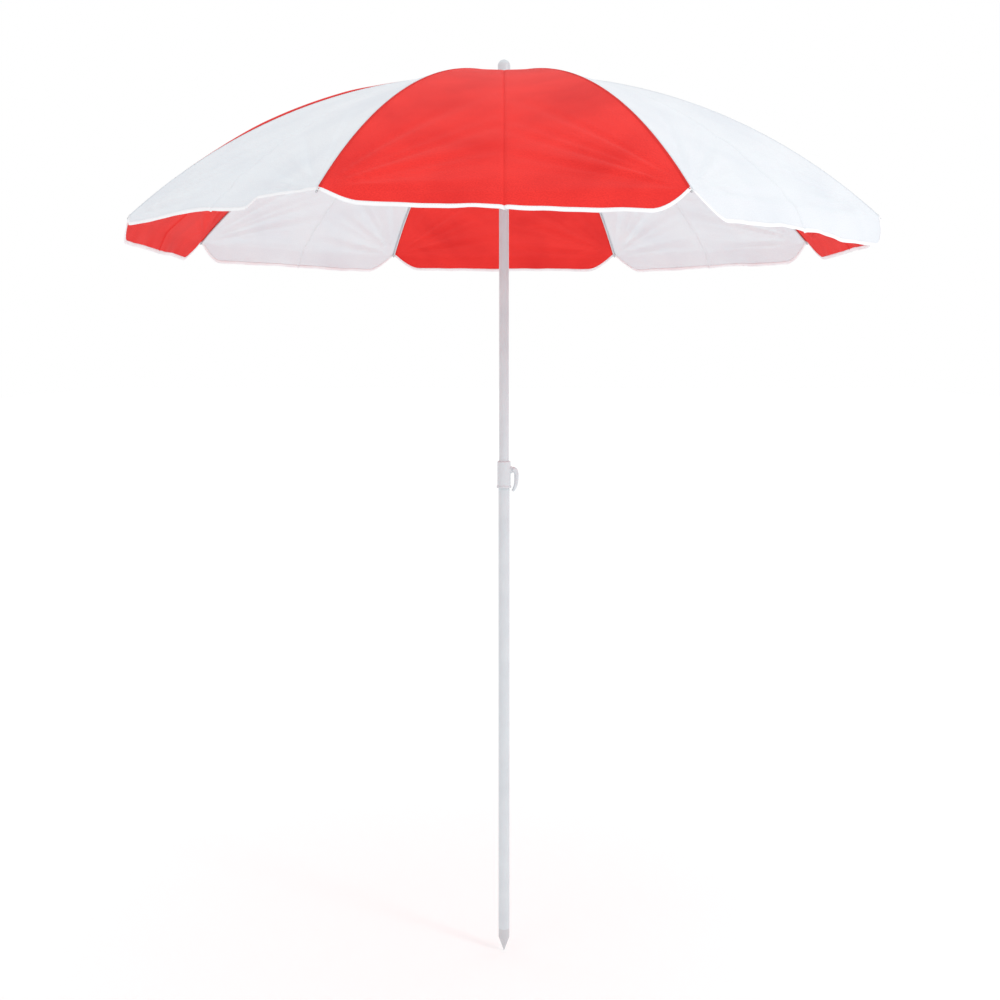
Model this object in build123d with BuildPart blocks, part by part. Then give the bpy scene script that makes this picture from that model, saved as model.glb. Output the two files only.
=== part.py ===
from build123d import *
import math
import os

os.makedirs("parts", exist_ok=True)

# Beach umbrella, in millimetres: the foot's tip is at the origin and +Z runs up the pole.
RIBS = 8
HALF_GORE = 180.0 / RIBS  # from a rib to the middle of its panel
FIT = 0.05  # gap between fixed neighbours
RUN = 0.2  # gap between neighbours that move

# pole
FOOT_CONE = 32.0
FOOT_TOP = 52.0
FOOT_R = 12.2
FOOT_PLUG_TOP = 90.0
LOWER_R = 12.5
LOWER_WALL = 1.1
LOWER_TOP = 1062.0
GROOVE = 3.0  # rolled into the tube just below the collar
GROOVE_DEPTH = 0.5
UPPER_R = 11.0
UPPER_WALL = 1.0
UPPER_BOTTOM = 930.0
UPPER_TOP = 1957.8
BUSH_FLANGE = 8.0
BUSH_SPIGOT = 25.0

# clamp
COLLAR_LOW = 1039.0
COLLAR_HIGH = 1099.0
COLLAR_R = 15.0
COLLAR_LIP = 16.5
COLLAR_LIP_HEIGHT = 6.0
COLLAR_BEVEL = 2.0
CLAMP_Z = 1079.0
BOSS_R = 8.0
BOSS_X = 17.5
NUT_FLATS = 10.0
NUT_THICK = 4.4
SCREW_R = 2.9
HANDLE_HUB_R = 6.5
HANDLE_X = 18.0
HANDLE_HUB_LENGTH = 6.0
HANDLE_WIDTH = 7.0
HANDLE_SKIN = 2.0  # plastic left over the screw's end

# canopy: in a rib's plane the cloth is one arc about (ARC_R0, ARC_Z0)
CANOPY_TOP = 1962.0
ARC = 1202.0
SLOPE_TOP = 1.4
SLOPE_TIP = 44.6
ARC_R0 = -ARC * math.sin(math.radians(SLOPE_TOP))
ARC_Z0 = CANOPY_TOP - ARC * math.cos(math.radians(SLOPE_TOP))
CLOTH = 0.6
CLOTH_INNER = 29.0
PANEL_GAP = 0.15
FLAP = 55.0
FLAP_SLOPE = 65.0
FLAP_CUT_BACK = 50.0

# frame
RIB_R = 2.0
RIB_DROP = 2.8
PIVOT_R = 18.0
RING_WIRE = 1.0
EYE_R = 3.0
EYE_HOLE = 1.3
EYE_WIDTH = 4.0
STRETCHER_R = 1.75
HUB_R = 26.0
HUB_CORE = 14.0
HUB_BELOW = 6.0
HUB_ABOVE = 2.2
HUB_SKIRT = 16.0
HUB_TOP = 1962.0
SLOT = 5.2
WASHER_R = 30.0
WASHER = 1.5
FINIAL_R = 14.0
FINIAL_TOP = 2000.0
RUNNER_FLANGE = 4.0
RUNNER_ABOVE = 12.0
RUNNER_BELOW = 28.0
RUNNER_RIM = 16.0
RUNNER_RIM_HEIGHT = 3.0

# bracket on each rib
BRACKET_R = 386.0
BRACKET_DROP = 6.5
CHEEK_IN = 2.3
CHEEK = 0.8
BRACKET_LENGTH = 14.0
RIVET_R = 1.1
RIVET_HEAD = 2.0
CAP_LENGTH = 6.0
CAP_ROUND = 1.8

# catch
CATCH_WIDTH = 3.0
CATCH_OUT = 4.0
CATCH_IN = 8.0
CATCH_HEIGHT = 26.0
CATCH_NOSE = 4.0


def slope_at(radius, drop=0.0):
    return math.asin((radius - ARC_R0) / (ARC - drop))


def arc_point(slope, drop=0.0):
    return (ARC_R0 + (ARC - drop) * math.sin(slope), ARC_Z0 + (ARC - drop) * math.cos(slope))


def save(part, name):
    part.label = name
    export_step(part, f"parts/{name}.step")


TIP_SLOPE = math.radians(SLOPE_TIP)
PIVOT_SLOPE = slope_at(PIVOT_R, RIB_DROP)
CROWN_Z = arc_point(PIVOT_SLOPE, RIB_DROP)[1]
BRACKET_SLOPE = slope_at(BRACKET_R, RIB_DROP)
ELBOW_R, ELBOW_Z = arc_point(BRACKET_SLOPE, RIB_DROP + BRACKET_DROP)
LINK = math.hypot(ELBOW_R - PIVOT_R, CROWN_Z - ELBOW_Z)
LINK_SLOPE = math.atan2(CROWN_Z - ELBOW_Z, ELBOW_R - PIVOT_R)
RUNNER_Z = 2 * ELBOW_Z - CROWN_Z
RUNNER_BOTTOM = RUNNER_Z - RUNNER_BELOW
CATCH_TOP = RUNNER_BOTTOM - RUN
ARC_AXIS = Axis((ARC_R0, 0, ARC_Z0), (0, 1, 0))


def ring_part(radius, height, wire):
    with BuildPart() as ring:
        with Locations((0, 0, height)):
            Torus(radius, wire)
    return ring.part


def slotted(part, low, high):
    with BuildPart() as body:
        add(part)
        with BuildSketch(Plane.XY.offset(low - 1)):
            with PolarLocations(0, RIBS, start_angle=HALF_GORE):
                with Locations((HUB_CORE + RUN + HUB_R / 2, 0)):
                    Rectangle(HUB_R, SLOT)
        extrude(amount=high - low + 2, mode=Mode.SUBTRACT)
    return body.part


# pole: foot, two tubes and the bush between them
with BuildPart() as foot:
    with BuildSketch(Plane.XZ):
        with BuildLine():
            Polyline(
                (0, 0),
                (FOOT_R, FOOT_CONE),
                (FOOT_R, FOOT_TOP),
                (LOWER_R - LOWER_WALL - FIT, FOOT_TOP),
                (LOWER_R - LOWER_WALL - FIT, FOOT_PLUG_TOP),
                (0, FOOT_PLUG_TOP),
                close=True,
            )
        make_face()
    revolve(axis=Axis.Z)
save(foot.part, "ground_spike")

with BuildPart() as lower:
    with BuildSketch(Plane.XY.offset(FOOT_TOP)):
        Circle(LOWER_R)
        Circle(LOWER_R - LOWER_WALL, mode=Mode.SUBTRACT)
    extrude(amount=LOWER_TOP - FOOT_TOP)
    with BuildSketch(Plane.XY.offset(COLLAR_LOW - GROOVE)):
        Circle(COLLAR_LIP)
        Circle(LOWER_R - GROOVE_DEPTH, mode=Mode.SUBTRACT)
    extrude(amount=GROOVE, mode=Mode.SUBTRACT)
save(lower.part, "lower_tube")

with BuildPart() as upper:
    with BuildSketch(Plane.XY.offset(UPPER_BOTTOM)):
        Circle(UPPER_R)
        Circle(UPPER_R - UPPER_WALL, mode=Mode.SUBTRACT)
    extrude(amount=UPPER_TOP - UPPER_BOTTOM)
    with Locations((0, -UPPER_R, CATCH_TOP - CATCH_HEIGHT / 2)):
        Box(CATCH_WIDTH + 2 * RUN, UPPER_R, CATCH_HEIGHT + 4 * RUN, mode=Mode.SUBTRACT)
save(upper.part, "upper_tube")

with BuildPart() as bush:
    with BuildSketch(Plane.XY.offset(UPPER_BOTTOM - RUN - BUSH_FLANGE)):
        Circle(LOWER_R - LOWER_WALL - RUN / 2)
    extrude(amount=BUSH_FLANGE)
    with BuildSketch(Plane.XY.offset(UPPER_BOTTOM - RUN)):
        Circle(UPPER_R - UPPER_WALL - RUN / 2)
    extrude(amount=BUSH_SPIGOT)
save(bush.part, "tube_bush")

# clamp: collar, nut, screw and hooked handle
with BuildPart() as collar:
    with BuildSketch(Plane.XZ):
        with BuildLine():
            Polyline(
                (LOWER_R + FIT, COLLAR_LOW),
                (COLLAR_LIP, COLLAR_LOW),
                (COLLAR_LIP, COLLAR_LOW + COLLAR_LIP_HEIGHT / 2),
                (COLLAR_R, COLLAR_LOW + COLLAR_LIP_HEIGHT),
                (COLLAR_R, COLLAR_HIGH - COLLAR_BEVEL),
                (COLLAR_R - COLLAR_BEVEL, COLLAR_HIGH),
                (UPPER_R + RUN, COLLAR_HIGH),
                (UPPER_R + RUN, LOWER_TOP + FIT),
                (LOWER_R + FIT, LOWER_TOP + FIT),
                close=True,
            )
        make_face()
    revolve(axis=Axis.Z)
    with BuildSketch(Plane.YZ.offset(UPPER_R + 1)):
        with Locations((0, CLAMP_Z)):
            Circle(BOSS_R)
    extrude(amount=BOSS_X - UPPER_R - 1)
    with BuildSketch(Plane.YZ):
        with Locations((0, CLAMP_Z)):
            Circle(SCREW_R + RUN)
    extrude(amount=BOSS_X + 1, mode=Mode.SUBTRACT)
    with BuildSketch(Plane.YZ.offset(BOSS_X - NUT_THICK - FIT)):
        with Locations((0, CLAMP_Z)):
            RegularPolygon(NUT_FLATS / 2 + FIT, 6, major_radius=False)
    extrude(amount=NUT_THICK + 1, mode=Mode.SUBTRACT)
save(collar.part, "clamp_collar")

with BuildPart() as nut:
    with BuildSketch(Plane.YZ.offset(BOSS_X - NUT_THICK)):
        with Locations((0, CLAMP_Z)):
            RegularPolygon(NUT_FLATS / 2, 6, major_radius=False)
            Circle(SCREW_R + FIT, mode=Mode.SUBTRACT)
    extrude(amount=NUT_THICK)
save(nut.part, "clamp_nut")

with BuildPart() as screw:
    with BuildSketch(Plane.YZ.offset(UPPER_R + FIT)):
        with Locations((0, CLAMP_Z)):
            Circle(SCREW_R)
    extrude(amount=HANDLE_X + HANDLE_HUB_LENGTH - UPPER_R - HANDLE_SKIN)
save(screw.part, "clamp_screw")

HOOK = ((18.5, 1084), (24.5, 1083), (31, 1073), (32.5, 1062), (30.5, 1048), (24, 1036), (18, 1030.5))
HOOK_BACK = ((20, 1036.5), (23.5, 1047), (24.2, 1058), (23.4, 1069), (18.5, 1074))
with BuildPart() as handle:
    with BuildSketch(Plane.XZ):
        with BuildLine():
            Spline(*HOOK)
            Spline(*HOOK_BACK)
            Line(HOOK[-1], HOOK_BACK[0])
            Line(HOOK_BACK[-1], HOOK[0])
        make_face()
    extrude(amount=HANDLE_WIDTH / 2, both=True)
    with BuildSketch(Plane.YZ.offset(HANDLE_X)):
        with Locations((0, CLAMP_Z)):
            Circle(HANDLE_HUB_R)
    extrude(amount=HANDLE_HUB_LENGTH)
    with BuildSketch(Plane.YZ):
        with Locations((0, CLAMP_Z)):
            Circle(SCREW_R + FIT)
    extrude(amount=HANDLE_X + HANDLE_HUB_LENGTH - HANDLE_SKIN + FIT, mode=Mode.SUBTRACT)
save(handle.part, "clamp_handle")

# crown: slotted hub, its wire, the washer over the cloth and the cap
with BuildPart() as crown:
    with BuildSketch(Plane.XZ):
        with BuildLine():
            Polyline(
                (0, HUB_TOP),
                (HUB_CORE, HUB_TOP),
                (HUB_CORE, CROWN_Z + HUB_ABOVE),
                (HUB_R, CROWN_Z + HUB_ABOVE),
                (HUB_R, CROWN_Z - HUB_BELOW),
                (HUB_CORE, CROWN_Z - HUB_BELOW),
                (HUB_CORE, CROWN_Z - HUB_SKIRT),
                (UPPER_R + FIT, CROWN_Z - HUB_SKIRT),
                (UPPER_R + FIT, UPPER_TOP + FIT),
                (0, UPPER_TOP + FIT),
                close=True,
            )
        make_face()
    revolve(axis=Axis.Z)
    add(ring_part(PIVOT_R, CROWN_Z, RING_WIRE + FIT), mode=Mode.SUBTRACT)
save(slotted(crown.part, CROWN_Z - HUB_BELOW, CROWN_Z + HUB_ABOVE), "crown_hub")
save(ring_part(PIVOT_R, CROWN_Z, RING_WIRE), "crown_wire")

with BuildPart() as washer:
    with BuildSketch(Plane.XY.offset(HUB_TOP)):
        Circle(WASHER_R)
    extrude(amount=WASHER)
    chamfer(washer.faces().sort_by(Axis.Z)[-1].edges(), WASHER / 2)
save(washer.part, "crown_washer")

with BuildPart() as finial:
    with BuildSketch(Plane.XZ):
        with BuildLine():
            Polyline(
                (0, FINIAL_TOP),
                (0, HUB_TOP + WASHER),
                (FINIAL_R, HUB_TOP + WASHER),
                (FINIAL_R, FINIAL_TOP - FINIAL_R),
            )
            CenterArc((0, FINIAL_TOP - FINIAL_R), FINIAL_R, 0, 90)
        make_face()
    revolve(axis=Axis.Z)
save(finial.part, "finial")

# runner on the pole, its wire, and the catch that holds it up
with BuildPart() as runner:
    with BuildSketch(Plane.XZ):
        with BuildLine():
            Polyline(
                (UPPER_R + RUN, RUNNER_Z + RUNNER_ABOVE),
                (HUB_CORE, RUNNER_Z + RUNNER_ABOVE),
                (HUB_CORE, RUNNER_Z + RUNNER_FLANGE),
                (HUB_R, RUNNER_Z + RUNNER_FLANGE),
                (HUB_R, RUNNER_Z - RUNNER_FLANGE),
                (HUB_CORE, RUNNER_Z - RUNNER_FLANGE),
                (HUB_CORE, RUNNER_BOTTOM + RUNNER_RIM_HEIGHT),
                (RUNNER_RIM, RUNNER_BOTTOM + RUNNER_RIM_HEIGHT),
                (RUNNER_RIM, RUNNER_BOTTOM),
                (UPPER_R + RUN, RUNNER_BOTTOM),
                close=True,
            )
        make_face()
    revolve(axis=Axis.Z)
    add(ring_part(PIVOT_R, RUNNER_Z, RING_WIRE + FIT), mode=Mode.SUBTRACT)
save(slotted(runner.part, RUNNER_Z - RUNNER_FLANGE, RUNNER_Z + RUNNER_FLANGE), "runner")
save(ring_part(PIVOT_R, RUNNER_Z, RING_WIRE), "runner_wire")

with BuildPart() as catch:
    with BuildSketch(Plane.YZ):
        with BuildLine():
            Polyline(
                (-CATCH_IN, CATCH_TOP),
                (-UPPER_R - CATCH_OUT, CATCH_TOP),
                (-UPPER_R - CATCH_OUT, CATCH_TOP - CATCH_NOSE),
                (-UPPER_R + RUN, CATCH_TOP - CATCH_HEIGHT + RUN),
                (-CATCH_IN, CATCH_TOP - CATCH_HEIGHT + RUN),
                close=True,
            )
        make_face()
    extrude(amount=CATCH_WIDTH / 2, both=True)
save(catch.part, "catch_spring")

# one rib, stretcher and set of fittings in the XZ plane, then a copy at each azimuth
ROOT_ALONG = (math.cos(PIVOT_SLOPE), 0, -math.sin(PIVOT_SLOPE))
with BuildPart() as rib:
    with BuildSketch(Plane((PIVOT_R, 0, CROWN_Z), x_dir=(0, 1, 0), z_dir=ROOT_ALONG)):
        Circle(RIB_R)
    revolve(axis=ARC_AXIS, revolution_arc=SLOPE_TIP - math.degrees(PIVOT_SLOPE))
    with BuildSketch(Plane.XZ.offset(-EYE_WIDTH / 2)):
        with Locations((PIVOT_R, CROWN_Z)):
            Circle(EYE_R)
    extrude(amount=EYE_WIDTH)
    with BuildSketch(Plane.XZ.offset(-EYE_WIDTH)):
        with Locations((PIVOT_R, CROWN_Z)):
            Circle(EYE_HOLE)
    extrude(amount=2 * EYE_WIDTH, mode=Mode.SUBTRACT)

ALONG = (math.cos(LINK_SLOPE), 0, math.sin(LINK_SLOPE))
with BuildPart() as stretcher:
    with BuildSketch(Plane((PIVOT_R, 0, RUNNER_Z), x_dir=(0, 1, 0), z_dir=ALONG)):
        Circle(STRETCHER_R)
    extrude(amount=LINK)
    with BuildSketch(Plane.XZ.offset(-EYE_WIDTH / 2)):
        with Locations((PIVOT_R, RUNNER_Z), (ELBOW_R, ELBOW_Z)):
            Circle(EYE_R)
    extrude(amount=EYE_WIDTH)
    with BuildSketch(Plane.XZ.offset(-EYE_WIDTH)):
        with Locations((PIVOT_R, RUNNER_Z), (ELBOW_R, ELBOW_Z)):
            Circle(EYE_HOLE)
    extrude(amount=2 * EYE_WIDTH, mode=Mode.SUBTRACT)

RIB_AT = arc_point(BRACKET_SLOPE, RIB_DROP)
TANGENT = (math.cos(BRACKET_SLOPE), 0, -math.sin(BRACKET_SLOPE))
RISE = BRACKET_DROP + EYE_R
with BuildPart() as saddle:
    with BuildSketch(Plane((RIB_AT[0], 0, RIB_AT[1]), x_dir=(0, 1, 0), z_dir=TANGENT)):
        for side in (-1, 1):
            with Locations((side * (CHEEK_IN + CHEEK / 2), -RISE / 2)):
                Rectangle(CHEEK, RISE)
        with Locations((0, -RIB_R - FIT - CHEEK / 2)):
            Rectangle(2 * CHEEK_IN + CHEEK, CHEEK)
    extrude(amount=BRACKET_LENGTH / 2, both=True)
    with BuildSketch(Plane.XZ.offset(-2 * EYE_WIDTH)):
        with Locations((ELBOW_R, ELBOW_Z)):
            Circle(RIVET_R + FIT)
    extrude(amount=4 * EYE_WIDTH, mode=Mode.SUBTRACT)

CHEEK_OUT = CHEEK_IN + CHEEK
with BuildPart() as rivet:
    with BuildSketch(Plane.XZ.offset(-CHEEK_OUT - CHEEK)):
        with Locations((ELBOW_R, ELBOW_Z)):
            Circle(RIVET_R)
    extrude(amount=2 * (CHEEK_OUT + CHEEK))
    for start in (-CHEEK_OUT - CHEEK, CHEEK_OUT):
        with BuildSketch(Plane.XZ.offset(start)):
            with Locations((ELBOW_R, ELBOW_Z)):
                Circle(RIVET_HEAD)
        extrude(amount=CHEEK)

TIP_AT = arc_point(TIP_SLOPE, RIB_DROP)
TIP_ALONG = (math.cos(TIP_SLOPE), 0, -math.sin(TIP_SLOPE))
with BuildPart() as tip:
    with BuildSketch(Plane((TIP_AT[0], 0, TIP_AT[1]), x_dir=(0, 1, 0), z_dir=TIP_ALONG).offset(FIT)):
        Circle(RIB_R)
    extrude(amount=CAP_LENGTH)
    fillet(tip.faces().sort_by(Axis.X)[-1].edges(), CAP_ROUND)

# half of a panel, on either side of its middle: the profile drawn out, then trimmed in plan
SHRINK = math.cos(math.radians(HALF_GORE))
SPREAD = math.sin(math.radians(HALF_GORE))
STEPS = 8
INNER_SLOPE = slope_at(CLOTH_INNER)


def edge_points(drop):
    slopes = [INNER_SLOPE + (TIP_SLOPE - INNER_SLOPE) * i / STEPS for i in range(STEPS + 1)]
    return [(SHRINK * r, z) for r, z in (arc_point(s, drop) for s in slopes)]


OUTER = edge_points(-CLOTH / 2)
INNER = edge_points(CLOTH / 2)
FALL = math.radians(FLAP_SLOPE)
DOWN = (FLAP * math.cos(FALL), -FLAP * math.sin(FALL))
END_OUT = (OUTER[-1][0] + DOWN[0], OUTER[-1][1] + DOWN[1])
END_IN = (END_OUT[0] - CLOTH * math.sin(FALL), END_OUT[1] - CLOTH * math.cos(FALL))
EDGE_R = arc_point(TIP_SLOPE)[0]


def half_panel(side):
    with BuildPart() as panel:
        with BuildSketch(Plane.XZ):
            with BuildLine():
                Spline(*OUTER)
                Polyline(OUTER[-1], END_OUT, END_IN, INNER[-1])
                Spline(*INNER[::-1])
                Line(INNER[0], OUTER[0])
            make_face()
        extrude(amount=EDGE_R, both=True)
        with BuildSketch(Plane.XY.offset(ARC_Z0)):
            with BuildLine():
                Polyline(
                    (0, side * PANEL_GAP),
                    (PANEL_GAP * SHRINK / SPREAD, side * PANEL_GAP),
                    (EDGE_R * SHRINK, side * EDGE_R * SPREAD),
                    (END_OUT[0], side * (EDGE_R * SPREAD - FLAP_CUT_BACK)),
                    (END_OUT[0] + 1, side * (EDGE_R * SPREAD - FLAP_CUT_BACK)),
                    (END_OUT[0] + 1, side * PANEL_GAP),
                    close=True,
                )
            make_face()
        extrude(amount=ARC * 2, mode=Mode.INTERSECT)
    return panel.part


low_half, high_half = half_panel(-1), half_panel(1)
for k in range(RIBS):
    azimuth = (2 * k + 1) * HALF_GORE
    save(rib.part.rotate(Axis.Z, azimuth), f"rib_{k + 1}")
    save(stretcher.part.rotate(Axis.Z, azimuth), f"stretcher_{k + 1}")
    fittings = Compound([p.part.rotate(Axis.Z, azimuth) for p in (saddle, rivet, tip)])
    save(fittings, f"rib_fittings_{k + 1}")
    save(high_half.rotate(Axis.Z, azimuth - HALF_GORE), f"panel_{k + 1}_cw")
    save(low_half.rotate(Axis.Z, azimuth + HALF_GORE), f"panel_{k + 1}_ccw")
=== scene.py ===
import math

import bmesh
import bpy
import numpy as np
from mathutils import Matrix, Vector


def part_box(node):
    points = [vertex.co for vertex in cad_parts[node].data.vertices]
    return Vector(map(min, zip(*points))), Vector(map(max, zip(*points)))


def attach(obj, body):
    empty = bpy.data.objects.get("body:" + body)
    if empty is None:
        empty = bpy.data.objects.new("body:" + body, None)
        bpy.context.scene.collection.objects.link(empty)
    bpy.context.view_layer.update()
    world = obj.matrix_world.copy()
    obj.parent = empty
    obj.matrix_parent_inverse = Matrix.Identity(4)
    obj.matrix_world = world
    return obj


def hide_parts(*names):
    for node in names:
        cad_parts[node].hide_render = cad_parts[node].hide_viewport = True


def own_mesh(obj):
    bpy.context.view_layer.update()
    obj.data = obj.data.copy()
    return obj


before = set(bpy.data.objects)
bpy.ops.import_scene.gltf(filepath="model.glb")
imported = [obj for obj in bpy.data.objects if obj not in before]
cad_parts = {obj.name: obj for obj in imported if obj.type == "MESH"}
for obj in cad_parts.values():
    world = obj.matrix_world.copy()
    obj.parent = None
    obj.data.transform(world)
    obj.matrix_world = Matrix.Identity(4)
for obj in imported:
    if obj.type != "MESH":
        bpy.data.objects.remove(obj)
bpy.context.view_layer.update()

# Everything is in metres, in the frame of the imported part: the foot's tip is the origin, +Z is up
# and -Y is the front.
MM = 0.001
RIBS = 8
HALF_GORE = math.pi / RIBS

# The cloth over a rib is one arc, drawn from its slope at the crown to its slope at the tip.
ARC = 1.202
SLOPE_CROWN, SLOPE_TIP = math.radians(1.4), math.radians(44.6)
CROWN_TOP = 1.962
ARC_R0 = -ARC * math.sin(SLOPE_CROWN)
ARC_Z0 = CROWN_TOP - ARC * math.cos(SLOPE_CROWN)
CLOTH_INNER = 0.025
SLOPE_INNER = math.asin((CLOTH_INNER - ARC_R0) / ARC)

# The flap below the hem line, rounded off at each rib. A panel that isn't listed has FLAP.
FLAP = 0.055
FLAP_OF_PANEL = {2: 0.049, 4: 0.057, 6: 0.050, 7: 0.058}
FLAP_LEAST = 0.0015
FLAP_ROUND = 0.07
FLAP_ROUND_POWER = 1.6
FLAP_SLOPE = math.radians(65)
FLAP_TURN = 0.3  # the share of its length over which the flap turns down
FRONT = 6  # panels are numbered from 0 at +X, anticlockwise seen from above
FRONT_SHARE, FRONT_SLANT = 0.80, 0.28  # share of the flap at the middle, and change towards each rib
LONG_ENDED = 7  # this panel's flap hangs lower at one end
LONG_END_EXTRA = 0.30
SHORT_ENDED = 0  # and its neighbour's is shorter beside it
SHORT_END_SHARE = 0.3
BULGING = 4  # this panel stands a little proud of its front rib
BULGE, BULGE_FROM_RIB = 0.009, 0.02
TURNED_UP = 5  # this panel's flap is turned up under itself, all of it beside its front rib
TURNED_UP_FLAP = 0.017
TURNED_UP_RAGGED = 0.35
TURNED_UP_RIPPLE = 5.2
TURNED_UP_LONGEST = 0.36  # where across the panel it hangs longest
TURNED_UP_END = (0.37, 0.45)  # where across the panel the last of it goes under

# How far the cloth stands off its arc.
SAG = 0.0045
FAN, FAN_REACH = 0.0034, 0.24
FAN_FOLDS = ((15, 1, 1.0), (27, 2, 0.6), (44, 3, 0.35))  # folds to a radian, phase multiple, share
SLACK, SLACK_WAVE = 0.0012, 0.23
CREASE, CREASE_WIDTH = 0.0030, 0.0028
FLAP_SWING = 0.12
FLAP_WAVES = ((0.31, 1.0), (0.13, 0.6), (0.061, 0.3))  # length of each wave, and its share
PHASES = 7

COLUMNS = 44  # from a panel's middle to its rib
COLUMN_CROWDING = 1.35  # above 1, columns lie closer together at the crease
PANEL_ROWS = 110
FLAP_ROWS = 16

# A piece gathers by one amount as the canopy closes, and the cloth has to gather less high up than
# low down. So each half panel is meshed in bands that start at these rows. At rest they meet edge
# to edge.
GATHER_ROWS = [0, 3, 6, 10, 14, 19, 25, 32, 40, 50, 62]

SEAM_WIDTH = 0.005
SEAM_LIFT = 0.0005
SEAM_MOST = 0.5  # near the crown, of the outer column's width times the number of columns
TAPE_WIDTH = 0.0075
TAPE_LIFT = 0.0007
STITCH = 0.0032
STITCH_GAP = 0.0046
THREAD = 0.00035

TRANSLUCENCY = 0.18
RED, RED_DEEP = "F23833", "DC2A28"
WHITE, WHITE_DEEP = "E9EEF2", "E0E6EC"


def linear(hex_colour):
    """A linear RGBA value from an sRGB hex colour."""
    parts = [int(hex_colour[i:i + 2], 16) / 255 for i in (0, 2, 4)]
    return [p / 12.92 if p <= 0.04045 else ((p + 0.055) / 1.055) ** 2.4 for p in parts] + [1.0]


def smooth(low, high, value):
    t = np.clip((value - low) / (high - low), 0, 1)
    return t * t * (3 - 2 * t)


def add(tree, kind, inputs=None, **settings):
    """Adds a node, with its settings, and its inputs as values or as sockets to link."""
    made = tree.nodes.new(kind)
    for key, value in settings.items():
        setattr(made, key, value)
    for key, value in (inputs or {}).items():
        if isinstance(value, bpy.types.NodeSocket):
            tree.links.new(value, made.inputs[key])
        else:
            made.inputs[key].default_value = value
    return made


def blank(name):
    material = bpy.data.materials.new(name)
    material.use_nodes = True
    material.node_tree.nodes.clear()
    return material, material.node_tree


def show(tree, socket):
    add(tree, "ShaderNodeOutputMaterial", {"Surface": socket})


# ---------------------------------------------------------------- materials

WAVE_PERIOD = math.pi / 10  # a Wave texture of scale 1 repeats at this distance


def woven_polyester(name, colour, deep):
    """Woven polyester: soft and matt, it lets some light through, and its two sets of threads cross
    as a fine grid. Threads are 0.4 mm apart, drawn at 1.2 mm so that a near view shows them."""
    material, tree = blank(name)
    uv = add(tree, "ShaderNodeUVMap", uv_map="cloth").outputs["UV"]
    cloudy = add(tree, "ShaderNodeTexNoise", {"Vector": uv, "Scale": 7.0, "Detail": 4.0})
    fibre = add(tree, "ShaderNodeTexNoise", {"Vector": uv, "Scale": 420.0, "Detail": 2.0})
    shade = add(tree, "ShaderNodeMath", {0: cloudy.outputs["Fac"], 1: fibre.outputs["Fac"]},
                operation="MULTIPLY")
    ramp = add(tree, "ShaderNodeValToRGB", {"Fac": shade.outputs["Value"]})
    ramp.color_ramp.elements[0].position = 0.12
    ramp.color_ramp.elements[0].color = linear(deep)
    ramp.color_ramp.elements[1].position = 0.34
    ramp.color_ramp.elements[1].color = linear(colour)
    threads = [add(tree, "ShaderNodeTexWave", {"Vector": uv, "Scale": WAVE_PERIOD / 0.0012},
                   bands_direction=axis) for axis in ("X", "Y")]
    weave = add(tree, "ShaderNodeMath", {0: threads[0].outputs["Fac"], 1: threads[1].outputs["Fac"]},
                operation="MULTIPLY")
    pucker = add(tree, "ShaderNodeTexNoise", {"Vector": uv, "Scale": 30.0, "Detail": 3.0})
    soft = add(tree, "ShaderNodeBump", {"Height": pucker.outputs["Fac"], "Distance": 0.0009,
                                        "Strength": 0.5})
    grid = add(tree, "ShaderNodeBump", {"Height": weave.outputs["Value"], "Distance": 0.00012,
                                        "Strength": 0.5, "Normal": soft.outputs["Normal"]})
    face = add(tree, "ShaderNodeBsdfPrincipled", {
        "Base Color": ramp.outputs["Color"], "Roughness": 0.72, "Specular IOR Level": 0.2,
        "Sheen Weight": 0.04, "Sheen Roughness": 0.5, "Normal": grid.outputs["Normal"]})
    through = add(tree, "ShaderNodeBsdfTranslucent", {"Color": ramp.outputs["Color"],
                                                      "Normal": soft.outputs["Normal"]})
    both = add(tree, "ShaderNodeMixShader", {0: TRANSLUCENCY, 1: face.outputs[0], 2: through.outputs[0]})
    show(tree, both.outputs[0])
    return material


def binding_tape():
    """Woven polyester tape: tighter and a little shinier than the cloth, ribbed across its width."""
    material, tree = blank("woven_binding_tape")
    uv = add(tree, "ShaderNodeUVMap", uv_map="cloth").outputs["UV"]
    rib = add(tree, "ShaderNodeTexWave", {"Vector": uv, "Scale": WAVE_PERIOD / 0.0011},
              bands_direction="X")
    worn = add(tree, "ShaderNodeTexNoise", {"Vector": uv, "Scale": 35.0, "Detail": 3.0})
    ramp = add(tree, "ShaderNodeValToRGB", {"Fac": worn.outputs["Fac"]})
    ramp.color_ramp.elements[0].color = linear("EDEEF1")
    ramp.color_ramp.elements[1].color = linear("FAFAFC")
    bump = add(tree, "ShaderNodeBump", {"Height": rib.outputs["Fac"], "Distance": 0.0001,
                                        "Strength": 0.5})
    face = add(tree, "ShaderNodeBsdfPrincipled", {
        "Base Color": ramp.outputs["Color"], "Roughness": 0.6, "Normal": bump.outputs["Normal"]})
    show(tree, face.outputs[0])
    return material


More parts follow.
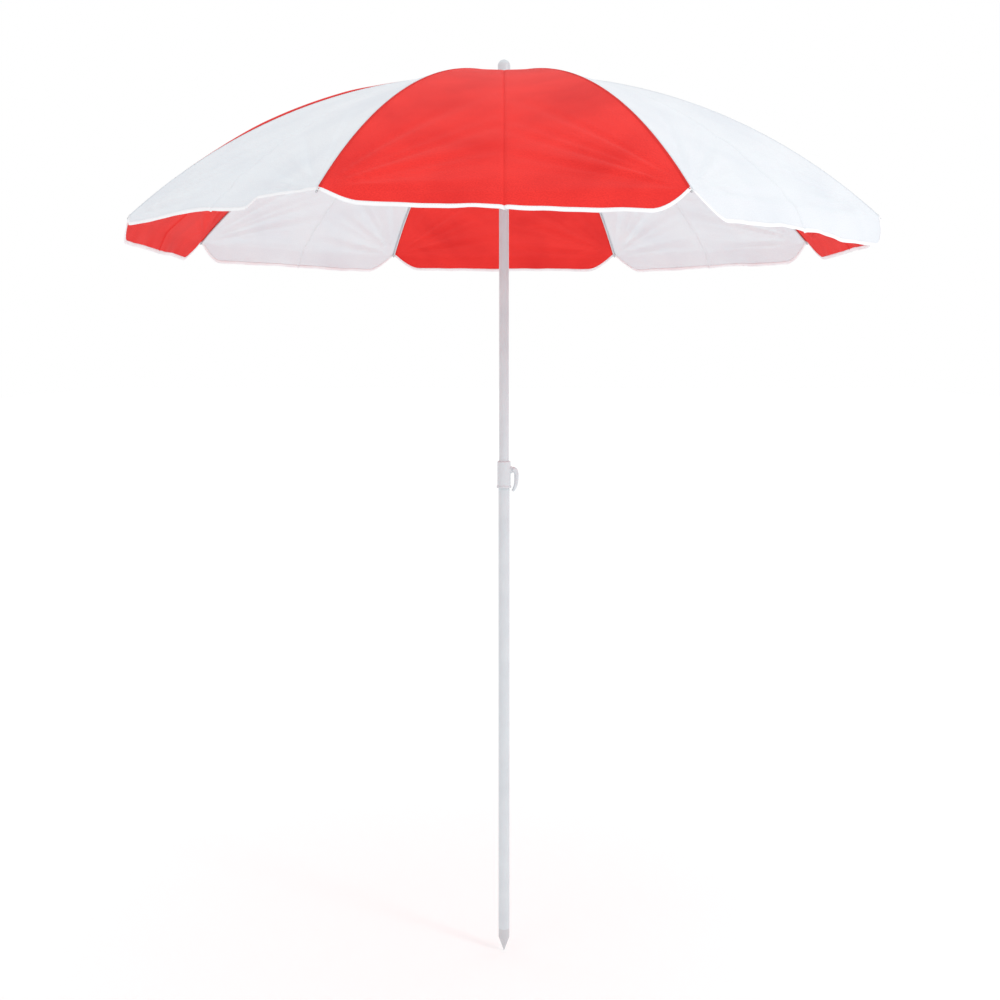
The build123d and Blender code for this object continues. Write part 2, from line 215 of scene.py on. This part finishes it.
def surface(name, light, dark, grain, relief, **inputs):
    """A hard finish: its colour varies between two near shades, over a grain of the given size."""
    material, tree = blank(name)
    place = add(tree, "ShaderNodeTexCoord").outputs["Object"]
    cloudy = add(tree, "ShaderNodeTexNoise", {"Vector": place, "Scale": 18.0, "Detail": 4.0})
    ramp = add(tree, "ShaderNodeValToRGB", {"Fac": cloudy.outputs["Fac"]})
    ramp.color_ramp.elements[0].position = 0.3
    ramp.color_ramp.elements[0].color = linear(dark)
    ramp.color_ramp.elements[1].position = 0.7
    ramp.color_ramp.elements[1].color = linear(light)
    fine = add(tree, "ShaderNodeTexNoise", {"Vector": place, "Scale": 1 / grain, "Detail": 3.0})
    bump = add(tree, "ShaderNodeBump", {"Height": fine.outputs["Fac"], "Distance": relief,
                                        "Strength": 0.5})
    named = {key.replace("_", " "): value for key, value in inputs.items()}
    face = add(tree, "ShaderNodeBsdfPrincipled", {
        "Base Color": ramp.outputs["Color"], "Normal": bump.outputs["Normal"], **named})
    show(tree, face.outputs[0])
    return material


red_polyester = woven_polyester("red_woven_polyester", RED, RED_DEEP)
white_polyester = woven_polyester("white_woven_polyester", WHITE, WHITE_DEEP)
tape_weave = binding_tape()
# Powder coat dries with a faint orange peel, a few millimetres from bump to bump.
powder_coat = surface("powder_coated_steel", "D2D8DC", "CAD0D5", 0.003, 0.00006,
                      Roughness=0.32, Coat_Weight=0.25, Coat_Roughness=0.15)
# ABS from a lightly sparked mould: glossy, with a grain that is only just felt.
moulded_abs = surface("moulded_abs", "D4DADE", "CBD1D6", 0.0008, 0.00003, Roughness=0.3)
# The foot's plastic is greyer and scuffed.
foot_plastic = surface("moulded_polypropylene", "CBCCCF", "BFC0C4", 0.0015, 0.00005, Roughness=0.45)
# Zinc plate on steel wire and fasteners: bright, with a slightly cloudy sheen.
zinc_plate = surface("zinc_plated_steel", "C9CBCE", "B4B7BC", 0.0006, 0.00001,
                     Metallic=1.0, Roughness=0.34)
nylon = surface("turned_nylon", "DEDCD4", "D4D2CA", 0.0006, 0.00002, Roughness=0.5)
thread = surface("polyester_thread", "F2F2F4", "E2E2E6", 0.0004, 0.00004, Roughness=0.65)
red_thread = surface("red_polyester_thread", "D92E2A", "C42420", 0.0004, 0.00004, Roughness=0.65)


# ---------------------------------------------------------------- cloth

def gore_phases(gore):
    """Each panel has its own folds and waves, the same at every run."""
    return np.random.default_rng(40 + gore).uniform(0, 2 * math.pi, PHASES)


def flap_length(u, half_chord, gore):
    """How far the flap hangs below the hem line, across a panel."""
    from_rib = (1 - np.abs(u)) * half_chord
    rounded = 1 - (1 - np.clip(from_rib / FLAP_ROUND, 0, 1)) ** FLAP_ROUND_POWER
    length = FLAP_OF_PANEL.get(gore, FLAP) * rounded
    if gore == FRONT:
        length = length * (FRONT_SHARE + FRONT_SLANT * u)
    if gore == LONG_ENDED:
        length = length * (1 + LONG_END_EXTRA * smooth(0, 0.7, u))
    if gore == SHORT_ENDED:
        length = length * (SHORT_END_SHARE + (1 - SHORT_END_SHARE) * smooth(-0.95, -0.45, u))
    if gore == TURNED_UP:
        ripple = np.cos(TURNED_UP_RIPPLE * (u - TURNED_UP_LONGEST))
        ragged = TURNED_UP_FLAP * (1 + TURNED_UP_RAGGED * ripple)
        length = np.minimum(length, ragged * (1 - smooth(*TURNED_UP_END, u)))
    return np.maximum(length, FLAP_LEAST)


def held_free(u):
    """The cloth is held along the ribs, at -1 and 1, and free between them."""
    return 1 - np.abs(u) ** 3


def cloth_lift(gore, u, v, half_chords, phase):
    """How far the cloth stands off its arc: u goes from rib to rib, v from the crown to the hem."""
    free = held_free(u)
    across = np.outer(half_chords, u)
    lift = -SAG * np.outer(np.sin(math.pi * v), 1 - u ** 2)
    up = (1 - v)[:, None] * ARC * (SLOPE_TIP - SLOPE_INNER)
    for corner, turn in ((-1, phase[0]), (1, phase[1])):
        side = (1 - corner * u)[None, :] * half_chords[:, None]
        reach, angle = np.hypot(up, side), np.arctan2(up, side + 1e-6)
        fan = sum(share * np.sin(folds * angle + times * turn) for folds, times, share in FAN_FOLDS)
        lift += FAN * fan * np.exp(-(reach / FAN_REACH) ** 2) * smooth(0, 0.05, reach) * free
    slack = np.sin(2 * math.pi * across / SLACK_WAVE + phase[2]) * np.sin(5 * v + phase[3])[:, None]
    lift += SLACK * slack * free * smooth(0.1, 0.5, v)[:, None]
    # The packing crease down the middle.
    lift -= CREASE * np.exp(-np.abs(across) / CREASE_WIDTH) * smooth(0.08, 0.25, v)[:, None]
    if gore == BULGING:
        beside = (1 - u)[None, :] * half_chords[:, None] / BULGE_FROM_RIB
        lengthwise = (smooth(0.2, 0.4, v) * (1 - smooth(0.6, 0.9, v)))[:, None]
        lift += BULGE * beside * np.exp(1 - beside) * lengthwise
    return lift


def hanging_flap(hem, gore, u, half_chord, phase):
    """The rows of the flap, from the hem line down."""
    length = flap_length(u, half_chord, gore)
    y = u * half_chord
    wave = sum(share * np.sin(2 * math.pi * y / size + turn)
               for (size, share), turn in zip(FLAP_WAVES, phase))
    rows = [hem]
    for i in range(1, FLAP_ROWS + 1):
        w = i / FLAP_ROWS
        slope = SLOPE_TIP + (FLAP_SLOPE - SLOPE_TIP) * smooth(0, FLAP_TURN, w)
        slope = slope + FLAP_SWING * wave * smooth(0.1, 1, w) * held_free(u)
        fall = np.stack([np.cos(slope), 0 * slope, -np.sin(slope)], axis=1)
        rows.append(rows[-1] + fall * (length / FLAP_ROWS)[:, None])
    return np.array(rows[1:])


def gore_grid(gore):
    """One whole panel with its flap, as points [row, column], in the frame of the panel's middle."""
    even = np.linspace(-1, 1, 2 * COLUMNS + 1)
    u = np.sign(even) * np.abs(even) ** COLUMN_CROWDING
    phase = gore_phases(gore)
    slope = np.linspace(SLOPE_INNER, SLOPE_TIP, PANEL_ROWS)
    r, z = ARC_R0 + ARC * np.sin(slope), ARC_Z0 + ARC * np.cos(slope)
    v = (slope - SLOPE_INNER) / (SLOPE_TIP - SLOPE_INNER)
    half_chords = r * math.sin(HALF_GORE)
    points = np.stack([np.repeat(r[:, None] * math.cos(HALF_GORE), len(u), 1),
                       np.outer(half_chords, u), np.repeat(z[:, None], len(u), 1)], axis=2)
    normal = np.stack([np.sin(slope), 0 * slope, np.cos(slope) * math.cos(HALF_GORE)], axis=1)
    normal /= np.linalg.norm(normal, axis=1)[:, None]
    points += normal[:, None, :] * cloth_lift(gore, u, v, half_chords, phase)[:, :, None]
    flap = hanging_flap(points[-1], gore, u, half_chords[-1], phase[4:])
    return np.concatenate([points, flap])


def grid_normals(points):
    """The outward direction of the cloth at each point."""
    down = np.gradient(points, axis=0)
    side = np.gradient(points, axis=1)
    normal = np.cross(down, side)
    normal /= np.linalg.norm(normal, axis=2)[:, :, None] + 1e-12
    return normal * np.sign(normal[:, :, 2:3].mean() or 1)


def turned(points, azimuth):
    """The points, turned about the pole."""
    c, s = math.cos(azimuth), math.sin(azimuth)
    x, y = points[..., 0] * c - points[..., 1] * s, points[..., 0] * s + points[..., 1] * c
    return np.stack([x, y, points[..., 2]], axis=-1)


def lengths_along(points, axis):
    """Distances along the rows or columns of a grid of points, from its first edge."""
    steps = np.linalg.norm(np.diff(points, axis=axis), axis=2)
    start = np.zeros_like(np.take(steps, [0], axis=axis))
    return np.concatenate([start, np.cumsum(steps, axis=axis)], axis=axis)


def grid_mesh(name, points, uv, material, normals=None, closed=False):
    """A mesh from a grid of points, facing outwards; closed joins its last column to its first."""
    rows, columns = points.shape[:2]
    last = columns if closed else columns - 1
    faces = [(i * columns + j, i * columns + (j + 1) % columns,
              (i + 1) * columns + (j + 1) % columns, (i + 1) * columns + j)
             for i in range(rows - 1) for j in range(last)]
    mesh = bpy.data.meshes.new(name)
    mesh.from_pydata(points.reshape(-1, 3).tolist(), [], faces)
    layer = mesh.uv_layers.new(name="cloth")
    flat = uv.reshape(-1, 2)
    corners = np.zeros(len(mesh.loops), np.int32)
    mesh.loops.foreach_get("vertex_index", corners)
    layer.data.foreach_set("uv", flat[corners].astype(np.float32).ravel())
    mesh.materials.append(material)
    mesh.shade_smooth()
    if normals is not None:
        wanted = normals.reshape(-1, 3)
        facing = np.array([p.normal for p in mesh.polygons]).mean(axis=0) @ wanted.mean(axis=0)
        if facing < 0:
            mesh.flip_normals()
        mesh.normals_split_custom_set_from_vertices(wanted.tolist())
    piece = bpy.data.objects.new(name, mesh)
    bpy.context.scene.collection.objects.link(piece)
    return piece


def fold_with_rib(piece, k):
    """The piece rides on its rib's arm as the canopy closes."""
    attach(piece, f"rib_arm_{k}")
    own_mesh(piece)


def walk_up(points, distance):
    """The points that lie this far above the hem, following each column of the cloth."""
    columns = []
    for j in range(points.shape[1]):
        line = points[::-1, j]
        along = np.concatenate([[0], np.cumsum(np.linalg.norm(np.diff(line, axis=0), axis=1))])
        columns.append([np.interp(distance, along, line[:, a]) for a in range(3)])
    return np.array(columns)


def hem_tape(name, points, normals):
    """Tape folded over the hem: up the outside, round the edge, and up the inside."""
    edge_normal = normals[-1]
    steps = [TAPE_WIDTH, TAPE_WIDTH * 0.66, TAPE_WIDTH * 0.33, 0.0]
    outside = [walk_up(points, d) + edge_normal * TAPE_LIFT for d in steps]
    inside = [walk_up(points, d) - edge_normal * TAPE_LIFT for d in reversed(steps)]
    fall = walk_up(points, 0.0) - walk_up(points, 0.002)
    fall /= np.linalg.norm(fall, axis=1)[:, None] + 1e-12
    below = [walk_up(points, 0.0) + fall * TAPE_LIFT]
    ring = np.stack(outside + below + inside, axis=1)
    run = lengths_along(ring[:, :1].transpose(1, 0, 2), 1)[0]
    around = np.arange(ring.shape[1]) * TAPE_WIDTH / 4
    uv = np.stack(np.meshgrid(run, around, indexing="ij"), axis=2)
    piece = grid_mesh(name, ring, uv, tape_weave, closed=True)
    close_ends(piece, ring.shape[0], ring.shape[1])
    return piece


def close_ends(piece, rows, columns):
    """Caps both open ends of a tube made by grid_mesh."""
    made = bmesh.new()
    made.from_mesh(piece.data)
    made.verts.ensure_lookup_table()
    made.faces.new([made.verts[j] for j in range(columns)])
    made.faces.new([made.verts[(rows - 1) * columns + j] for j in range(columns)])
    bmesh.ops.recalc_face_normals(made, faces=made.faces)
    made.to_mesh(piece.data)
    made.free()


def seam_strip(name, points, normals, side, material):
    """The turned-in edge of a panel, lying double beside the rib."""
    rib_column = -1 if side > 0 else 0
    next_column = -2 if side > 0 else 1
    edge, inward = points[:PANEL_ROWS, rib_column], points[:PANEL_ROWS, next_column]
    across = inward - edge
    width = np.linalg.norm(across, axis=1)
    across /= width[:, None]
    reach = np.minimum(SEAM_WIDTH, width * COLUMNS * SEAM_MOST)[:, None]
    up = normals[:PANEL_ROWS, rib_column]
    sections = [edge - up * SEAM_LIFT, edge + up * SEAM_LIFT,
                edge + across * reach * 0.8 + up * SEAM_LIFT,
                edge + across * reach + up * SEAM_LIFT * 0.3,
                edge + across * reach - up * SEAM_LIFT]
    ring = np.stack(sections, axis=1)
    run = np.linspace(0, ARC * (SLOPE_TIP - SLOPE_CROWN), len(ring))
    around = np.arange(ring.shape[1]) * SEAM_WIDTH / 4
    uv = np.stack(np.meshgrid(run, around, indexing="ij"), axis=2)
    piece = grid_mesh(name, ring, uv, material, closed=True)
    close_ends(piece, ring.shape[0], ring.shape[1])
    return piece, edge + across * reach * 0.6 + up * (SEAM_LIFT + THREAD / 2)


# ---------------------------------------------------------------- stitches

def stitch_tree():
    """Geometry Nodes: one short thread at each step along a curve, lying along it."""
    tree = bpy.data.node_groups.new("stitches", "GeometryNodeTree")
    face = tree.interface
    face.new_socket("Geometry", in_out="INPUT", socket_type="NodeSocketGeometry")
    for label in ("Spacing", "Length", "Thread radius"):
        face.new_socket(label, in_out="INPUT", socket_type="NodeSocketFloat")
    face.new_socket("Thread", in_out="INPUT", socket_type="NodeSocketMaterial")
    face.new_socket("Geometry", in_out="OUTPUT", socket_type="NodeSocketGeometry")
    given = add(tree, "NodeGroupInput")
    steps = add(tree, "GeometryNodeResampleCurve", {"Curve": given.outputs["Geometry"],
                                                    "Length": given.outputs["Spacing"]}, mode="LENGTH")
    tangent = add(tree, "GeometryNodeInputTangent")
    aim = add(tree, "FunctionNodeAlignRotationToVector", {"Vector": tangent.outputs[0]}, axis="Z")
    ball = add(tree, "GeometryNodeMeshUVSphere", {"Segments": 6, "Rings": 4, "Radius": 1.0})
    half = add(tree, "ShaderNodeMath", {0: given.outputs["Length"], 1: 0.5}, operation="MULTIPLY")
    size = add(tree, "ShaderNodeCombineXYZ", {"X": given.outputs["Thread radius"],
                                              "Y": given.outputs["Thread radius"],
                                              "Z": half.outputs[0]})
    placed = add(tree, "GeometryNodeInstanceOnPoints", {
        "Points": steps.outputs[0], "Instance": ball.outputs["Mesh"],
        "Rotation": aim.outputs[0], "Scale": size.outputs[0]})
    real = add(tree, "GeometryNodeRealizeInstances", {"Geometry": placed.outputs[0]})
    painted = add(tree, "GeometryNodeSetMaterial", {"Geometry": real.outputs[0],
                                                    "Material": given.outputs["Thread"]})
    add(tree, "NodeGroupOutput", {"Geometry": painted.outputs[0]})
    return tree


STITCHES = stitch_tree()


def stitch_row(name, lines, material):
    """Rows of stitches along lines of points, as one plain mesh."""
    curve = bpy.data.curves.new(name, "CURVE")
    curve.dimensions = "3D"
    for line in lines:
        spline = curve.splines.new("POLY")
        spline.points.add(len(line) - 1)
        spline.points.foreach_set("co", np.column_stack([line, np.ones(len(line))]).ravel())
    source = bpy.data.objects.new(name + "_line", curve)
    bpy.context.scene.collection.objects.link(source)
    modifier = source.modifiers.new("stitches", "NODES")
    modifier.node_group = STITCHES
    wanted = {"Spacing": STITCH_GAP, "Length": STITCH, "Thread radius": THREAD, "Thread": material}
    for item in STITCHES.interface.items_tree:
        if item.in_out == "INPUT" and item.name in wanted:
            modifier[item.identifier] = wanted[item.name]
    ready = source.evaluated_get(bpy.context.evaluated_depsgraph_get())
    mesh = bpy.data.meshes.new_from_object(ready)
    mesh.name = name
    mesh.shade_smooth()
    bpy.data.objects.remove(source)
    piece = bpy.data.objects.new(name, mesh)
    bpy.context.scene.collection.objects.link(piece)
    return piece


# ---------------------------------------------------------------- canopy

CLOTHS = {True: (red_polyester, "red_cloth"), False: (white_polyester, "white_cloth")}


def make_trimmings(k, end, half, normals, side, red):
    """The tape, the seam and both rows of stitches of half a panel."""
    fabric, fabric_slot = CLOTHS[red]
    tape = hem_tape(f"hem_tape_{k}_{end}", half, normals)
    seam, seam_line = seam_strip(f"seam_{k}_{end}", half, normals, side, fabric)
    hem_line = walk_up(half, TAPE_WIDTH * 0.8) + normals[-1] * (TAPE_LIFT + THREAD / 2)
    hem_stitches = stitch_row(f"hem_stitches_{k}_{end}", [hem_line], thread)
    seam_stitches = stitch_row(f"seam_stitches_{k}_{end}", [seam_line], red_thread if red else thread)
    for piece, slot in ((tape, "white_cloth"), (seam, fabric_slot),
                        (hem_stitches, "white_cloth"), (seam_stitches, fabric_slot)):
        fold_with_rib(piece, k)
    return [tape, seam, hem_stitches, seam_stitches]


def make_half(gore, side, points, normals, uv):
    """One half of a panel, in bands, with its trimmings, on the rib beside it."""
    k = gore + 1 if side > 0 else (gore or RIBS)
    end = "cw" if side > 0 else "ccw"
    red = gore % 2 == 0
    fabric, fabric_slot = CLOTHS[red]
    columns = slice(COLUMNS, None) if side > 0 else slice(0, COLUMNS + 1)
    half, half_normals = points[:, columns], normals[:, columns]
    trimmings = make_trimmings(k, end, half, half_normals, side, red)

    for number, first in enumerate(GATHER_ROWS):
        lowest = number == len(GATHER_ROWS) - 1
        last = len(half) - 1 if lowest else GATHER_ROWS[number + 1]
        rows = slice(first, last + 1)
        band = grid_mesh(f"cloth_{k}_{end}_{number + 1}", half[rows], uv[rows, columns], fabric,
                         normals=half_normals[rows])
        fold_with_rib(band, k)
        if lowest:
            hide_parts(f"panel_{k}_{end}")


def make_canopy():
    for gore in range(RIBS):
        points = gore_grid(gore)
        normals = grid_normals(points)
        uv = np.stack([lengths_along(points, 1), lengths_along(points, 0)], axis=2)
        points, normals = (turned(a, 2 * HALF_GORE * gore) for a in (points, normals))
        for side in (1, -1):
            make_half(gore, side, points, normals, uv)


# ---------------------------------------------------------------- clamp handle

# The hook's centre line (x, z), its half thickness and its half width, in mm.
HOOK_LINE = [(18.0, 1080.0), (24.0, 1079.0), (27.6, 1071), (27.9, 1060), (26.6, 1047), (22.4, 1036),
             (18.4, 1031.5)]
HOOK_THICK = [5.0, 5.4, 5.1, 4.9, 4.3, 3.5, 2.7]
HOOK_WIDE = [4.8, 4.6, 3.9, 3.7, 3.5, 3.2, 2.6]
HOOK_STEPS, HOOK_SIDES = 60, 28
HOOK_TIP = 0.02  # both ends close to this share of their size
HOOK_VOXEL = 0.0005


def curve_through(values, count):
    """Evenly spaced points on a smooth curve through the values."""
    values = np.array(values, float).reshape(len(values), -1)
    padded = np.concatenate([2 * values[:1] - values[1:2], values, 2 * values[-1:] - values[-2:-1]])
    found = []
    for t in np.linspace(0, len(values) - 1 - 1e-9, count):
        i, f = int(t), t - int(t)
        a, b, c, d = padded[i:i + 4]
        found.append(0.5 * (2 * b + (c - a) * f + (2 * a - 5 * b + 4 * c - d) * f ** 2
                            + (3 * b - a - 3 * c + d) * f ** 3))
    return np.array(found)


def lathe_x(profile, centre_z, segments=48):
    """A turned shape about the clamp's axis, from (x, radius) pairs."""
    angles = np.linspace(0, 2 * math.pi, segments, endpoint=False)
    return np.array([[(x, r * math.cos(a), centre_z + r * math.sin(a)) for a in angles]
                     for x, r in profile])


def make_handle():
    """The hooked wing and its hub, moulded in one piece."""
    line = curve_through(HOOK_LINE, HOOK_STEPS) * MM
    thick = curve_through(HOOK_THICK, HOOK_STEPS)[:, 0] * MM
    wide = curve_through(HOOK_WIDE, HOOK_STEPS)[:, 0] * MM
    along = np.gradient(line, axis=0)
    along /= np.linalg.norm(along, axis=1)[:, None]
    out = np.stack([-along[:, 1], along[:, 0]], axis=1)
    ends = np.array([HOOK_TIP] + [1.0] * (HOOK_STEPS - 2) + [HOOK_TIP])
    angles = np.linspace(0, 2 * math.pi, HOOK_SIDES, endpoint=False)
    ring = np.array([[(line[i, 0] + out[i, 0] * thick[i] * ends[i] * math.cos(a),
                       wide[i] * ends[i] * math.sin(a),
                       line[i, 1] + out[i, 1] * thick[i] * ends[i] * math.cos(a)) for a in angles]
                     for i in range(HOOK_STEPS)])
    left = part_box("clamp_handle")[0][0]
    clamp_z = (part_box("clamp_screw")[0][2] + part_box("clamp_screw")[1][2]) / 2
    hub = lathe_x([(left, 0.0001), (left, 0.0058), (left + 0.0007, 0.0065), (left + 0.0052, 0.0065),
                   (left + 0.006, 0.0057), (left + 0.006, 0.0001)], clamp_z)
    flat = [grid_mesh(f"handle_{n}", g, np.zeros(g.shape[:2] + (2,)), moulded_abs, closed=True)
            for n, g in (("hook", ring), ("hub", hub))]
    for piece, shape in zip(flat, (ring, hub)):
        close_ends(piece, shape.shape[0], shape.shape[1])
    with bpy.context.temp_override(active_object=flat[0], selected_editable_objects=flat,
                                   object=flat[0]):
        bpy.ops.object.join()
    handle = flat[0]
    handle.name = "hooked_handle"
    remesh = handle.modifiers.new("one_skin", "REMESH")
    remesh.mode, remesh.voxel_size, remesh.use_smooth_shade = "VOXEL", HOOK_VOXEL, True
    relax = handle.modifiers.new("soft_edges", "SMOOTH")
    relax.factor, relax.iterations = 0.5, 6
    mesh = bpy.data.meshes.new_from_object(
        handle.evaluated_get(bpy.context.evaluated_depsgraph_get()))
    handle.modifiers.clear()
    handle.data = mesh
    mesh.materials.clear()
    mesh.materials.append(moulded_abs)
    mesh.shade_smooth()
    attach(handle, "clamp")
    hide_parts("clamp_handle")


# ---------------------------------------------------------------- finishes on the frame's own nodes

def finish_nodes():
    looks = {"lower_tube": powder_coat, "upper_tube": powder_coat, "ground_spike": foot_plastic,
             "clamp_collar": moulded_abs, "crown_hub": moulded_abs, "crown_washer": moulded_abs,
             "finial": moulded_abs, "runner": moulded_abs, "tube_bush": nylon,
             "clamp_nut": zinc_plate, "clamp_screw": zinc_plate, "crown_wire": zinc_plate,
             "runner_wire": zinc_plate, "catch_spring": zinc_plate}
    for k in range(1, RIBS + 1):
        looks[f"rib_{k}"] = powder_coat
        looks[f"stretcher_{k}"] = powder_coat
        looks[f"rib_fittings_{k}"] = zinc_plate
    for name, material in looks.items():
        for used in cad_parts[name].material_slots:
            used.material = material


# ---------------------------------------------------------------- stage, camera and light

def make_stage():
    """A plain, nearly white floor that glows faintly."""
    half = 14.0
    points = np.array([[(x, y, 0.0) for x in (-half, half)] for y in (-half, 3 * half)])
    material, tree = blank("matt_studio_paper")
    face = add(tree, "ShaderNodeBsdfPrincipled", {
        "Base Color": linear("FCFCFC"), "Roughness": 1.0, "Specular IOR Level": 0.0,
        "Emission Color": linear("FFFFFF"), "Emission Strength": 0.06})
    show(tree, face.outputs[0])
    up = np.tile([0, 0, 1.0], (2, 2, 1))
    floor = grid_mesh("studio_floor", points, np.zeros((2, 2, 2)), material, normals=up)


CAMERA_BACK, CAMERA_HEIGHT = 2.908, 1.348
LENS, SENSOR = 46.636, 36.0
SHIFT_X, SHIFT_Y = -0.004, -0.150  # the camera is level, and the frame is moved down on it


def make_camera():
    eye = bpy.data.cameras.new("camera")
    eye.lens, eye.sensor_width = LENS, SENSOR
    eye.shift_x, eye.shift_y = SHIFT_X, SHIFT_Y
    camera = bpy.data.objects.new("camera", eye)
    camera.location = (0, -CAMERA_BACK, CAMERA_HEIGHT)
    camera.rotation_euler = (math.pi / 2, 0, 0)
    bpy.context.scene.collection.objects.link(camera)
    bpy.context.scene.camera = camera


def soft_box(name, place, target, size, power):
    lamp = bpy.data.lights.new(name, "AREA")
    lamp.shape, lamp.size, lamp.energy = "DISK", size, power
    made = bpy.data.objects.new(name, lamp)
    made.location = place
    made.rotation_euler = (Vector(target) - Vector(place)).to_track_quat("-Z", "Y").to_euler()
    bpy.context.scene.collection.objects.link(made)


def make_light():
    world = bpy.data.worlds.new("studio")
    world.use_nodes = True
    world.node_tree.nodes["Background"].inputs["Color"].default_value = linear("FFFFFF")
    world.node_tree.nodes["Background"].inputs["Strength"].default_value = 1.0
    bpy.context.scene.world = world
    soft_box("key", place=(3.4, -2.6, 2.9), target=(0, 0, 1.75), size=1.0, power=30)


bpy.context.scene.view_settings.view_transform = "Standard"
make_camera()
make_light()
make_stage()
finish_nodes()
make_canopy()
make_handle()
